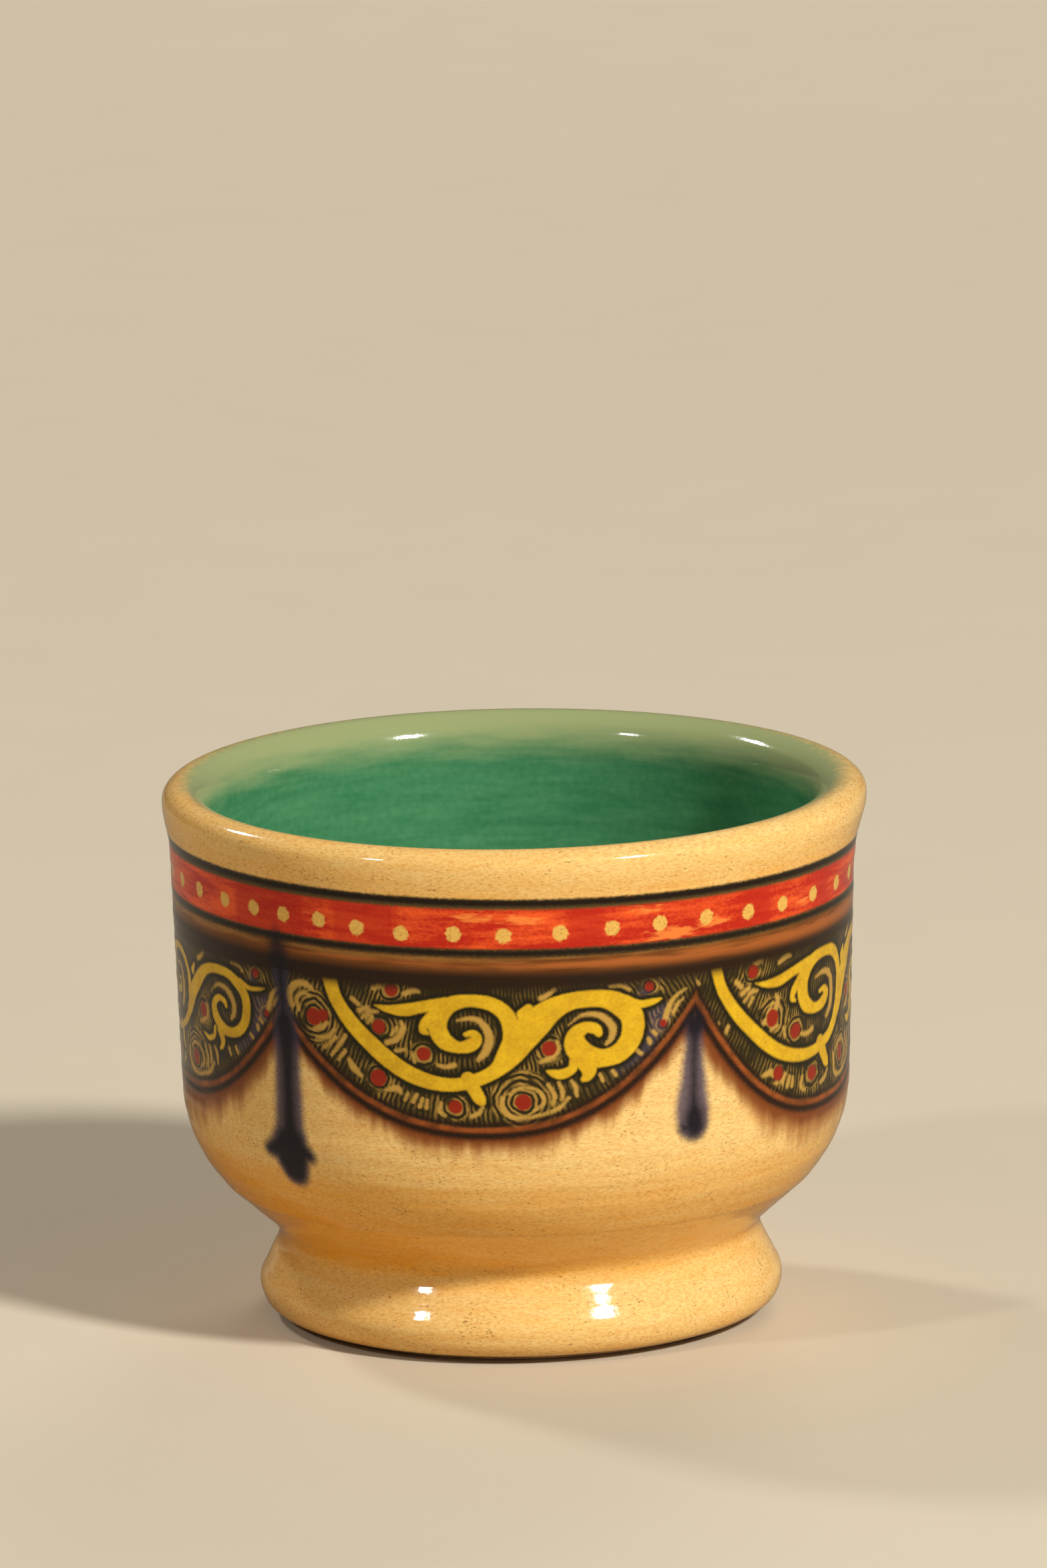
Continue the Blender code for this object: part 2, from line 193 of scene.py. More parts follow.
# The cup's outline as (radius, height): mid floor, up the inside, over the lip, down to the standing edge. A
# running mean over SOFTENED mm rounds its corners as glaze and a wet sponge do.
lip_base, crest_radius = HEIGHT - LIP_CROWN, RIM_RADIUS - LIP_THICKNESS / 2
base_radius = FOOT_RADIUS - ROLL[0]
wall_top = lip_base - FLARE_HEIGHT
foot_top = bend(WAIST, (FOOT_RADIUS, ROLL[1] + FOOT_SHOULDER), (FOOT_RADIUS, ROLL[1]))
belly = rounded((WALL_TOP_RADIUS, wall_top), CORNER, WAIST, BELLY_RADIUS)
outline = np.vstack([
    [(0, FLOOR_CORNER[1])],
    rounded((0, FLOOR_CORNER[1]), FLOOR_CORNER, (INNER_TOP_RADIUS, wall_top), FLOOR_FILLET),
    ease((INNER_TOP_RADIUS, wall_top), (crest_radius - LIP_INSIDE[0], HEIGHT - LIP_INSIDE[1])),
    arc((crest_radius, HEIGHT - LIP_INSIDE[1]), *LIP_INSIDE, 180, 90),
    arc((crest_radius, lip_base), LIP_THICKNESS / 2, LIP_CROWN, 90, 0),
    ease((RIM_RADIUS, lip_base), (WALL_TOP_RADIUS, wall_top)),
    belly,
    bend(WAIST + CREASE * (belly[-1] - WAIST) / np.linalg.norm(belly[-1] - WAIST), WAIST, foot_top[8]),
    foot_top[9:],
    arc((base_radius, ROLL[1]), ROLL[0], ROLL[1] - UNDERCUT[1], 0, -90),
    [(base_radius - UNDERCUT[0], 0), (base_radius - STANDING_WIDTH, 0)],
])
outline = even(outline, FINE)
window = 2 * round(SOFTENED / FINE / 2) + 1
padded = np.pad(outline, ((window // 2, window // 2), (0, 0)), mode="edge")
outline = np.column_stack([np.convolve(padded[:, i], np.ones(window) / window, mode="valid") for i in (0, 1)])
crest = int(np.argmax(outline[:, 1]))
drop_of = np.concatenate([[0], np.cumsum(np.linalg.norm(np.diff(outline, axis=0), axis=1))])
drop_of -= drop_of[crest]
along = np.gradient(outline, axis=0)
along /= np.linalg.norm(along, axis=1)[:, None]
outward = np.column_stack([-along[:, 1], along[:, 0]])


def at_drop(drop, sunk=0.0):
    """(radius, height) of the surface at a drop, sunk mm below it; drops inside the cup are negative."""
    place = outline - np.multiply.outer(np.broadcast_to(sunk, ()), outward)
    return np.column_stack([np.interp(drop, drop_of, place[:, i]) for i in (0, 1)])


def drop_at(height):
    """The drop at which the outside of the cup is at a height."""
    return float(np.interp(-height, -outline[crest:, 1], drop_of[crest:]))


def hand(turn, drop):
    """The potter's hand, in mm outwards: a little out of round, the lip pulled wider to the right and the foot turned
    closer on the left, with shallow throwing ridges on a 4 mm spiral and a bell curve for each turned ridge."""
    round_error = 0.10 * np.sin(2 * turn + 0.6) + 0.06 * np.sin(3 * turn + 2.1)
    round_error = round_error + 0.75 * np.clip(np.sin(turn), 0, 1) ** 2 * np.interp(drop, (-3, 0, 5, 13), (0, 1, 1, 0))
    round_error = round_error - 0.5 * np.clip(-np.sin(turn), 0, 1) ** 2 * np.clip((drop - drop_at(13)) / 4, 0, 1)
    ridges = 0.022 * np.sin(2 * math.pi * drop / 4.1 + turn) + 0.012 * np.sin(2 * math.pi * drop / 1.7 + 2 * turn)
    trimmed = sum(out * np.exp(-(((drop - drop_at(at)) / wide) ** 2)) for at, out, wide in TURNED_RIDGES)
    return round_error + ridges * np.clip((np.abs(drop) - 4) / 6, 0, 1) + trimmed


def turned(name, section, drops, seen, turns, folds):
    """A closed section in (radius, height) carried round the axis and moved out by the hand at each turn and drop.

    The hand fades out within 25 mm of the axis, and the lip dips by up to 0.6 mm in front. The first seen points are
    the surface that shows. All turns make a ring, fewer an arc with an end cap at each side. The map OFBake gives
    the baked colours: the turns run across it in a number of folds, one above the other, and what is hidden gets a
    tenth of the height.
    """
    ring = turns[-1] - turns[0] > 6
    turn = np.append(turns, turns[0] + 2 * math.pi) if ring else turns
    swell = hand(turn[:, None], drops) * np.clip(section[:, 0] / 25, 0, 1)
    radius = section[:, 0] + swell
    lift = -(0.3 + 0.3 * np.cos(turn[:, None])) * np.clip((section[:, 1] - 62) / 6, 0, 1)
    height = np.broadcast_to(section[:, 1], radius.shape) + lift
    places = np.stack([radius * np.sin(turn[:, None]), -radius * np.cos(turn[:, None]), height], axis=-1)
    columns, rows = radius.shape
    index = np.arange(columns * rows).reshape(columns, rows)
    if ring:
        index[-1] = index[0]
        places = places[:-1]
    below = np.roll(index, -1, axis=1)
    quads = np.stack([index[:-1], below[:-1], below[1:], index[1:]], axis=-1).reshape(-1, 4)
    caps = [] if ring else [index[0, ::-1].tolist(), index[-1].tolist()]
    mesh = bpy.data.meshes.new(name)
    mesh.from_pydata(places.reshape(-1, 3) * MM, [], quads.tolist() + caps)
    mesh.polygons.foreach_set("use_smooth", np.ones(len(mesh.polygons), bool))
    mesh.set_sharp_from_angle(angle=math.radians(50))

    length = np.linalg.norm(np.diff(np.vstack([section, section[:1]]), axis=0), axis=1)
    length[seen - 1 :] *= 0.1 * length[: seen - 1].sum() / length[seen - 1 :].sum()
    v = np.concatenate([[0], np.cumsum(length) / length.sum()]) * 0.98 + 0.01
    per_fold = (columns - 1) / folds
    fold = np.floor(np.arange(columns - 1) / per_fold)
    u = (np.arange(columns - 1) - fold * per_fold) / per_fold
    corner_u = u[:, None, None] + np.array([0, 0, 1, 1]) / per_fold
    corner_v = fold[:, None, None] + np.stack([v[:-1], v[1:], v[1:], v[:-1]], axis=-1)
    corners = np.stack(np.broadcast_arrays(corner_u, corner_v / folds), axis=-1).reshape(-1, 2)
    cap = np.column_stack([np.linspace(0.1, 0.9, rows), np.where(np.arange(rows) < seen, 0.99, 0.995)])
    corners = np.vstack([corners] + [cap[::-1], cap][: len(caps)])
    mesh.uv_layers.new(name="OFBake").uv.foreach_set("vector", corners.ravel().astype(np.float32))
    piece = bpy.data.objects.new(name, mesh)
    bpy.context.scene.collection.objects.link(piece)
    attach(piece, "root")
    return piece


def note(piece, **values):
    """Keeps numbers worked out for each vertex as attributes that the material reads."""
    for name, value in values.items():
        kept = piece.data.attributes.new(name, "FLOAT", "POINT").data
        kept.foreach_set("value", np.broadcast_to(value, (len(kept),)).astype(np.float32))


glaze_end = drop_at(GLAZE_LINE)
bare_start = glaze_end + 0.02
all_round = np.radians(np.arange(0, 360, 0.5))
bare_drops = np.linspace(bare_start, drop_of[-1], 60)
recess = np.array([at_drop(drop_of[-1])[0], (RECESS_RADIUS, RING_TOP), (RING_TOP_RADIUS, RING_TOP)])
ring_inside = even(recess, 0.8)[1:]
under_drops = np.linspace(drop_at(RING_TOP - 0.6), bare_start, 30)
section = np.vstack([at_drop(bare_drops), ring_inside, at_drop(under_drops, COAT + GAP)])
drops = np.concatenate([bare_drops, np.full(len(ring_inside), drop_of[-1]), under_drops])
foot_ring = turned("foot_ring_clay", section, drops, len(bare_drops) + len(ring_inside), all_round, 2)
foot_ring.data.materials.append(bare_clay)
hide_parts("foot_ring")


# Lining: green copper glaze poured round the inside and brushed out in rings. It thins towards the lip, where it
# turns olive over the honey glaze.
HONEY_INSIDE = 6.5
HONEY_LIGHT = "#ebc67d"
HONEY_DEEP = "#e49a24"
HONEY_SPECK = "#74430f"
CLAY_SHADOW = "#c57c2a"
OLIVE = "#959c69"
GREEN_THIN = "#528e60"
GREEN_THICK = "#3b7c50"


def painted_shade_by_turn(turn):
    """Painted shade at a turn, drawn as deeper amber in the honey glaze: the most at 225 degrees, on the side away
    from the key lamp.
    """
    return 0.11 * (1 - np.cos(turn - math.radians(45)))


def coat(start, end, spacing):
    """A closed section of a coat between two drops: the surface that shows, then its underside going back."""
    shown = np.linspace(start, end, int((end - start) / spacing) + 1)
    hidden = np.linspace(end, start, max(8, int((end - start) / 2)))
    section = np.vstack([at_drop(shown), at_drop(hidden, COAT)])
    section[:, 0] = np.maximum(section[:, 0], 0)
    return section, np.concatenate([shown, hidden]), len(shown)


def brushed(tree, below, colour, attribute, soft, ragged, noise, cover=1.0):
    """A brushstroke over what is below it. The attribute is the distance in mm inside the stroke's edge, which is
    soft mm wide to each side and moved in and out by ragged mm of noise; cover is how much the slip hides."""
    inside = node(tree, "Attribute", attribute_name=attribute).outputs["Fac"]
    inside = node(tree, "Math", {0: noise, 1: ragged, 2: inside}, operation="MULTIPLY_ADD").outputs[0]
    share = node(
        tree,
        "MapRange",
        {0: inside, 1: ragged / 2 - soft, 2: ragged / 2 + soft, 4: cover},
        interpolation_type="SMOOTHSTEP",
    ).outputs[0]
    return node(tree, "Mix", {0: share, 6: below, 7: colour}, data_type="RGBA").outputs[2]


def honey_colour(tree):
    """Clear honey glaze on clay: light where it is thin and amber where the attribute tone is high, which holds both
    the glaze's pools and painted shade, in 8 mm long brush streaks, over the clay's grain, 0.2 mm high and drawn out
    along the wheel. Iron specks gather in 4 mm clusters; they are drawn 0.5 mm long, coarser than the clay's own, so
    that they show."""
    tone = node(tree, "Attribute", attribute_name="tone").outputs["Fac"]
    streak = grain(tree, 8.0, (1, 1, 7), 4.0)
    amber = node(tree, "Math", {0: streak, 1: 0.7, 2: tone}, operation="MULTIPLY_ADD").outputs[0]
    amber = node(tree, "MapRange", {0: amber, 1: 0.35, 2: 1.3}).outputs[0]
    body = node(tree, "Mix", {0: amber, 6: linear(HONEY_LIGHT), 7: linear(HONEY_DEEP)}, data_type="RGBA").outputs[2]
    clay = node(tree, "MapRange", {0: grain(tree, 0.6, (1, 1, 2.6), 6.0), 1: 0.4, 2: 0.7, 4: 0.5}).outputs[0]
    body = node(tree, "Mix", {0: clay, 6: body, 7: linear(CLAY_SHADOW)}, data_type="RGBA").outputs[2]
    specks = node(
        tree, "Math", {0: grain(tree, 4.0), 1: 0.35, 2: grain(tree, 0.48, (1, 1, 2), 1.0)}, operation="MULTIPLY_ADD"
    ).outputs[0]
    specks = node(tree, "MapRange", {0: specks, 1: 0.84, 2: 0.95, 4: 0.6}).outputs[0]
    return node(tree, "Mix", {0: specks, 6: body, 7: linear(HONEY_SPECK)}, data_type="RGBA").outputs[2]


def lining_colour(tree):
    """Green over honey: bare honey on the lip, olive just inside it, then brushed rings of thin and thick green."""
    rings = grain(tree, 8.0, (1, 1, 7), 5.0)
    spots = grain(tree, 0.9)
    thick = node(tree, "Math", {0: spots, 1: 0.6, 2: rings}, operation="MULTIPLY_ADD").outputs[0]
    thick = node(tree, "MapRange", {0: thick, 1: 0.55, 2: 1.05}).outputs[0]
    green = node(tree, "Mix", {0: thick, 6: linear(GREEN_THIN), 7: linear(GREEN_THICK)}, data_type="RGBA").outputs[2]
    below = brushed(tree, honey_colour(tree), linear(OLIVE), "inside", 1.5, 2.5, spots)
    return brushed(tree, below, green, "deep", 3.0, 3.6, rings)


def green_edges(turns, drops):
    """Where olive and green begin, as mm inside each edge: nearer to the crest at the back for the olive, and nearer
    to it at the front for the green."""
    front = np.cos(turns)[:, None]
    return {"inside": (-drops - 0.3 - 1.5 * front).ravel(), "deep": (-drops - 5.2 + 0.6 * front).ravel()}


# Fired lead glaze: smooth and wet looking, with the faintest orange peel.
glaze_look = ((0.05, 0.12), lambda t: grain(t, 5.0), lambda t: grain(t, 1.0, (1, 1, 1.5), 3.0), 0.014)
green_glaze = finish("green copper glaze", lining_colour, *glaze_look)

lining_turns = np.radians(np.arange(0, 360, 0.75))
floor_drops = np.linspace(drop_of[0], -HONEY_INSIDE, 140)
under = np.linspace(-HONEY_INSIDE, drop_of[0], 40)
section = np.vstack([at_drop(floor_drops), at_drop(under, COAT)])
section[:, 0] = np.maximum(section[:, 0], 0)
drops = np.concatenate([floor_drops, under])
lining = turned("green_glaze_lining", section, drops, len(floor_drops), lining_turns, 1)
note(lining, tone=0.3, **green_edges(lining_turns, drops))
lining.data.materials.append(green_glaze)
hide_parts("green_lining")


# Rim coat: honey glaze wiped over the thick rolled lip, from just inside it down to the first painted line. It has
# the lining's material, because the two glazes ran into each other on the lip's inner half.
HONEY_OUTSIDE = 7.2

rim_section, drops, seen = coat(-HONEY_INSIDE, HONEY_OUTSIDE, 0.2)
rim = turned("honey_glaze_lip", rim_section, drops, seen, all_round, 4)
note(
    rim,
    # The tone is painted shade, deeper amber away from the key lamp, with a band of deeper amber just above the first
    # line.
    tone=(painted_shade_by_turn(all_round)[:, None] + 0.1 + 0.15 * np.exp(-(((drops - 6.5) / 1.5) ** 2))).ravel(),
    **green_edges(all_round, drops),
)
rim.data.materials.append(green_glaze)
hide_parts("rim_glaze")


# Painted border: slip brushed on as the cup turned on the wheel, so no line is quite level. From the top an olive
# black line, a red band with cream dots, a second dark line, and a brown line that runs into the dark below it.
BORDER_END = 19.4
BORDER_RADIUS = 44.0
# On the wall a height is LEVEL less the drop
LEVEL = 71.54
RIM_LINE_HEIGHT = 62.65
RED_HEIGHTS = (56.5, 62.3)
BAND_LINE_HEIGHT = 56.22
BROWN_TOP = 56.2
GAP_HEIGHT = 55.5
LIGHT_STREAK_HEIGHT = 54.55
SHADE_TOP = 53.8
OLIVE_BLACK = "#1b1006"
OLIVE_BROWN = "#54411f"
RED_THICK = "#b4220d"
RED_THIN = "#e4541e"
RED_WORN = "#f0883a"
DOT_CREAM = "#dcaa50"
BROWN_LIGHT = "#9e5622"
BROWN_MIDDLE = "#80491a"
BROWN_STREAK = "#683810"
BROWN_DARK = "#261507"
HONEY_LINE = "#93692f"
COBALT = "#0e0b14"
DOT_RADIUS = 1.0
# Dots of the photographed side, each (degrees from the front, height)
FRONT_DOTS = (
    (-65.5, 59.6), (-56.5, 59.55), (-48.5, 59.5), (-41.5, 59.4), (-34.0, 59.4), (-26.7, 58.9), (-18.8, 58.55),
    (-9.9, 58.7), (-1.6, 58.55), (7.7, 58.7), (16.4, 58.9), (24.8, 58.95), (33.7, 58.9), (42.6, 58.55), (51.0, 58.5),
    (60.3, 58.45), (70.0, 58.4),
)
# Where the red overlaps itself, each from one turn to another in degrees from the front
RED_LAPS = (
    (-53, -37), (-31, -20), (9, 15), (41, 48), (60, 66),
    (92, 104), (130, 137), (161, 178), (204, 212), (240, 255),
)
# Places where the red was wiped thin, each (degrees from the front, height, half height), WEAR_STRETCH times as wide
WEAR_STRETCH = 4
RED_WEAR = (
    (-7.0, 60.9, 0.4), (1.5, 60.6, 0.4), (27.0, 57.5, 0.75), (35.0, 58.2, 0.5), (57.0, 58.0, 0.25), (22.0, 60.9, 0.35),
    (112.0, 58.2, 0.5), (150.0, 60.4, 0.5), (190.0, 58.0, 0.5), (228.0, 60.6, 0.4), (262.0, 58.0, 0.5),
)
# Where the first tassel's brush was set down, a row of (degrees from the front, height, half width)
SMEAR = ((-43.4, 57.3, 0.2), (-43.3, 56.4, 0.9), (-43.2, 55.0, 1.5), (-43.0, 53.4, 1.6), (-42.8, 51.5, 1.3))


def through(points, steps):
    """A smooth curve through points in any number of columns (Catmull-Rom), with steps to each span."""
    p = np.asarray(points, float)
    p = np.vstack([2 * p[0] - p[1], p, 2 * p[-1] - p[-2]])
    t = np.linspace(0, 1, steps, endpoint=False)[:, None]
    a, b, c, d = (p[i : len(p) - 3 + i, None] for i in range(4))
    spans = b + 0.5 * t * (c - a + t * (2 * a - 5 * b + 4 * c - d + t * (3 * (b - c) + d - a)))
    return np.vstack([spans.reshape(-1, p.shape[1]), p[-2]])


def nearest_inside(across, height, marks):
    """How far each place lies inside the nearest of some round marks, rows of (across, height, radius), all in mm."""
    marks = marks.astype(np.float32)
    across, height = across.astype(np.float32), height.astype(np.float32)
    return np.max(marks[:, 2] - np.hypot(across[..., None] - marks[:, 0], height[..., None] - marks[:, 1]), axis=-1)


def border_colour(tree):
    """The border's layers in the order they were brushed, over the honey glaze."""
    fine = grain(tree, 0.5, (1, 1, 1.6))
    streak = grain(tree, 7.0, (1, 1, 8), 4.0)
    wide = grain(tree, 14.0, (1, 1, 4))
    colour = honey_colour(tree)
    thin = node(tree, "Math", {0: streak, 1: wide}).outputs[0]
    thin = node(tree, "Math", {0: fine, 1: 0.5, 2: thin}, operation="MULTIPLY_ADD").outputs[0]
    thin = node(tree, "MapRange", {0: thin, 1: 1.08, 2: 1.45}).outputs[0]
    red = node(tree, "Mix", {0: thin, 6: linear(RED_THICK), 7: linear(RED_THIN)}, data_type="RGBA").outputs[2]
    red = brushed(tree, red, linear(RED_WORN), "worn", 0.35, 2.4, grain(tree, 1.8, (1, 1, 3.5), 3.0), 0.75)
    red = brushed(tree, red, linear(RED_THICK), "lap", 0.7, 1.6, wide, 0.65)
    colour = brushed(tree, colour, red, "red", 0.2, 0.3, fine)
    flecks = node(tree, "MapRange", {0: grain(tree, 0.3), 1: 0.5, 2: 0.75, 4: 0.45}).outputs[0]
    cream = node(tree, "Mix", {0: flecks, 6: linear(DOT_CREAM), 7: linear(HONEY_SPECK)}, data_type="RGBA").outputs[2]
    colour = brushed(tree, colour, cream, "dot", 0.16, 0.6, fine)
    brown = node(tree, "MapRange", {0: streak, 1: 0.35, 2: 0.65}).outputs[0]
    brown = node(tree, "Mix", {0: brown, 6: linear(BROWN_STREAK), 7: linear(BROWN_MIDDLE)}, data_type="RGBA").outputs[2]
    # A pale streak in the brown that widens towards the right, where the key lamp lights, and is gone on the left:
    # partly painted light.
    brown = brushed(tree, brown, linear(BROWN_LIGHT), "light_streak", 0.45, 2.0, streak)
    colour = brushed(tree, colour, brown, "brown", 0.25, 0.4, streak)
    colour = brushed(tree, colour, linear(HONEY_LINE), "gap_line", 0.3, 1.2, streak, 0.6)
    colour = brushed(tree, colour, linear(OLIVE_BROWN), "dark_line", 0.25, 0.4, fine)
    colour = brushed(tree, colour, linear(OLIVE_BLACK), "dark_core", 0.35, 0.4, fine)
    # The dark below the brown reaches higher on the left, and there it is painted shade.
    colour = brushed(tree, colour, linear(BROWN_DARK), "shade", 0.9, 0.7, streak)
    return brushed(tree, colour, linear(COBALT), "smear", 1.2, 0.8, fine, 0.85)


section, drops, seen = coat(HONEY_OUTSIDE, BORDER_END, 0.22)
border = turned("painted_border", section, drops, seen, all_round, 5)
turn, drop = (x.ravel() for x in np.meshgrid(all_round, drops, indexing="ij"))
height = LEVEL - drop
tilt = np.sin(turn)
# The dots go on round the back, evenly spaced from the last to the first of the photographed side.
back_dots = np.column_stack([np.linspace(70, 294.5, 27)[1:-1], np.linspace(58.4, 59.6, 25)])
dots = np.vstack([FRONT_DOTS, back_dots]) * (math.radians(BORDER_RADIUS), 1)
dots = np.column_stack([dots, np.full(len(dots), DOT_RADIUS)])
# Turns past 290 degrees count back from the front, as the rows of marks do.
across = np.where(turn > math.radians(290), turn - 2 * math.pi, turn) * BORDER_RADIUS
lap_ends = np.radians(RED_LAPS) * BORDER_RADIUS
lap = np.minimum(across[:, None] - lap_ends[:, 0], lap_ends[:, 1] - across[:, None]).max(axis=1)
wear = np.array(RED_WEAR) * (math.radians(BORDER_RADIUS) / WEAR_STRETCH, 1, 1)
smear = through(SMEAR, 16) * (math.radians(BORDER_RADIUS), 1, 1)
rim_line = height - (RIM_LINE_HEIGHT - 0.7 * tilt)
band_line = height - (BAND_LINE_HEIGHT - 0.33 * tilt)
note(
    border,
    tone=0.35,
    red=np.minimum(RED_HEIGHTS[1] - 0.6 * tilt - height, height - (RED_HEIGHTS[0] - 0.3 * tilt)),
    worn=nearest_inside(across / WEAR_STRETCH, height, wear),
    lap=lap,
    dot=nearest_inside(across, height, dots),
    dark_line=np.maximum(0.76 - 0.08 * tilt - np.abs(rim_line), 0.55 - np.abs(band_line)),
    dark_core=np.maximum(0.5 - np.abs(rim_line - 0.2), 0.42 - np.abs(band_line)),
    brown=BROWN_TOP - 0.3 * tilt - height,
    # The pale streak widens towards the lit right as painted light, and the dark below the brown rises on the left as
    # painted shade.
    light_streak=0.3 + 0.6 * tilt - np.abs(height - LIGHT_STREAK_HEIGHT + 0.75 * tilt),
    gap_line=0.25 - 0.35 * np.maximum(tilt, 0) - np.abs(height - GAP_HEIGHT + 0.1 * tilt),
    shade=SHADE_TOP - 0.6 * tilt - height,
    smear=nearest_inside(across, height, smear),
)
# Slip under the same glaze: deep, wet looking colour, soft at its edges where the melting glaze drew it.
painted_border = finish("slip painted border under clear glaze", border_colour, *glaze_look)
border.data.materials.append(painted_border)
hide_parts("rim_line", "red_band", "band_line", "brown_line")


# Swags: five scalloped fields of green black slip, each from cusp to cusp, with a yellow scroll, red berries in
# cream rings, and a brown and a dark line along the scallop that bled into the honey glaze. A cobalt tassel was
# brushed down from each cusp. Each piece is one swag with the wall around it.
FRIEZE_END = 49.6
WALL_RADIUS = 43.6
CUSPS = (-42.7, 31.6, 103.0, 174.5, 245.9)
CUSP_HEIGHTS = (47.2, 48.8, 48.2, 48.6, 48.4)
SCROLL_TOP = 49.0
SWAG_DEPTHS = (15.8, 18.0, 16.4, 17.0, 15.8)
SWAG_POWERS = (2.35, 2.7, 2.5, 2.5, 2.75)
# How far the near and the far half of each scroll are moved back, as a share of the swag
SWAG_LEANS = ((0.0, 0.0), (0.085, 0.0), (0.04, 0.02), (-0.03, 0.0), (0.0, -0.033))
SCROLL_WIDTHS = (1.0, 0.78, 0.9, 0.85, 0.55)
SWAG_BLEEDS = (0.0, 1.8, 0.8, 0.4, 1.6)
HATCH_SPACING = 0.75
SWAG_SHADE = 51.4
# How far the honey glaze pools at heights listed down the wall, the belly and the foot. The deep amber under the
# belly and in the crease is both glaze that pools there and painted shade with a warm painted bounce light.
POOL_AND_SHADE_HEIGHTS = (0, 2, 5, 8, 10.5, 11.7, 14, 18, 22, 24.5, 26.5, 30)
POOL_AND_SHADE_TONES = (0.4, 0.25, 0.12, 0.12, 0.4, 0.75, 0.7, 0.7, 0.55, 0.42, 0.14, 0.04)
PANEL_DARK = "#271f09"
PANEL_CREAM = "#bd9240"
VINE_YELLOW = "#dbad1c"
VINE_DEEP = "#bd8d16"
VINE_EDGE = "#1d1806"
BERRY_RED = "#8c230d"
EDGE_BROWN = "#93491a"
EDGE_STREAK = "#5f2f0e"
EDGE_DARK = "#251206"
BLEED_BROWN = "#74370f"
BLEED_RUN = "#9c5a22"
COBALT_WASH = "#484056"

# Brushstrokes of the scroll, each a row of (degrees from the front, height, half width)
STROKES = (
    (
        (-32.6, 53.0, 1.15), (-31.5, 50.0, 0.98), (-30.0, 48.0, 1.0), (-27.8, 46.0, 1.05), (-24.8, 43.9, 1.1),
        (-21.5, 41.9, 1.1), (-18.0, 40.3, 1.05), (-14.0, 39.3, 0.95), (-10.0, 39.1, 0.85), (-6.0, 39.9, 0.85),
        (-3.0, 41.2, 1.0), (-0.8, 43.2, 1.6), (1.2, 45.4, 2.0), (3.5, 47.1, 1.9), (6.0, 48.7, 1.5),
        (9.0, 49.7, 1.15), (12.0, 49.95, 1.1), (15.0, 49.8, 1.15), (17.5, 49.0, 1.4), (19.6, 47.5, 1.5),
        (20.0, 45.7, 1.5), (19.3, 44.0, 1.4), (17.4, 42.6, 1.25), (14.8, 42.1, 1.15), (12.4, 42.4, 1.4),
        (10.3, 43.6, 1.5), (10.0, 45.2, 1.1), (11.6, 46.2, 0.75), (13.4, 46.0, 0.7), (14.0, 45.4, 0.5),
    ),
    (
        (-0.5, 44.5, 1.2), (-0.6, 46.5, 1.1), (-1.6, 48.4, 1.0), (-4.0, 49.7, 0.9), (-7.5, 50.1, 0.8),
        (-10.5, 49.6, 1.0), (-12.6, 48.2, 1.3), (-12.9, 46.4, 1.2), (-11.8, 44.8, 1.1), (-9.5, 44.0, 0.75),
        (-7.4, 44.3, 0.85), (-6.4, 45.1, 0.7), (-7.0, 45.8, 0.5), (-8.2, 45.7, 0.3),
    ),
    ((-11.5, 49.5, 1.0), (-15.0, 49.2, 0.75), (-18.5, 48.6, 0.8), (-21.5, 48.6, 0.5), (-23.8, 48.95, 0.1)),
    ((-13.5, 47.9, 0.9), (-15.0, 47.0, 0.65), (-15.4, 46.1, 0.5), (-14.6, 45.7, 0.2)),
    ((-8.0, 39.9, 0.9), (-6.9, 38.4, 0.85), (-6.1, 37.3, 0.75), (-5.7, 36.9, 0.5)),
    ((1.5, 48.2, 0.9), (2.3, 49.1, 0.5)),
    ((18.5, 49.2, 0.9), (21.0, 48.7, 0.55), (23.5, 48.85, 0.42), (25.0, 49.1, 0.15)),
    ((11.5, 42.0, 1.2), (12.3, 40.8, 1.0), (12.0, 39.9, 0.65), (11.3, 39.5, 0.35)),
    ((9.8, 42.0, 0.6), (9.4, 40.9, 0.6), (7.6, 40.3, 0.65), (6.2, 40.5, 0.45), (5.2, 40.8, 0.12)),
)
# Berries, each (degrees from the front, height, radius, how far the cream rings round it reach)
FRONT_BERRIES = (
    (-35.7, 46.6, 1.15, 3.6), (-33.9, 46.9, 0.85, 1.4), (-20.8, 51.1, 0.85, 1.7), (-23.2, 46.2, 0.9, 2.7),
    (-15.4, 43.0, 0.9, 1.8), (-23.6, 39.5, 1.1, 1.9), (-10.2, 36.2, 0.9, 1.9), (1.2, 36.8, 1.05, 4.2),
    (5.6, 43.7, 0.95, 2.0), (22.9, 50.9, 0.65, 1.4), (25.4, 45.9, 0.5, 1.4),
)
SIDE_BERRIES = (
    (-24.4, 50.4, 0.8, 1.6), (-20.0, 44.5, 1.0, 2.6), (-14.5, 42.2, 0.9, 1.8), (-18.5, 37.9, 0.85, 1.6),
    (-10.1, 36.6, 0.85, 1.8), (1.4, 37.2, 0.9, 3.0), (5.6, 43.7, 0.9, 2.0), (22.9, 50.9, 0.65, 1.4),
    (25.4, 45.9, 0.5, 1.4),
)
SWAG_BERRIES = (FRONT_BERRIES, SIDE_BERRIES, SIDE_BERRIES, FRONT_BERRIES, FRONT_BERRIES)
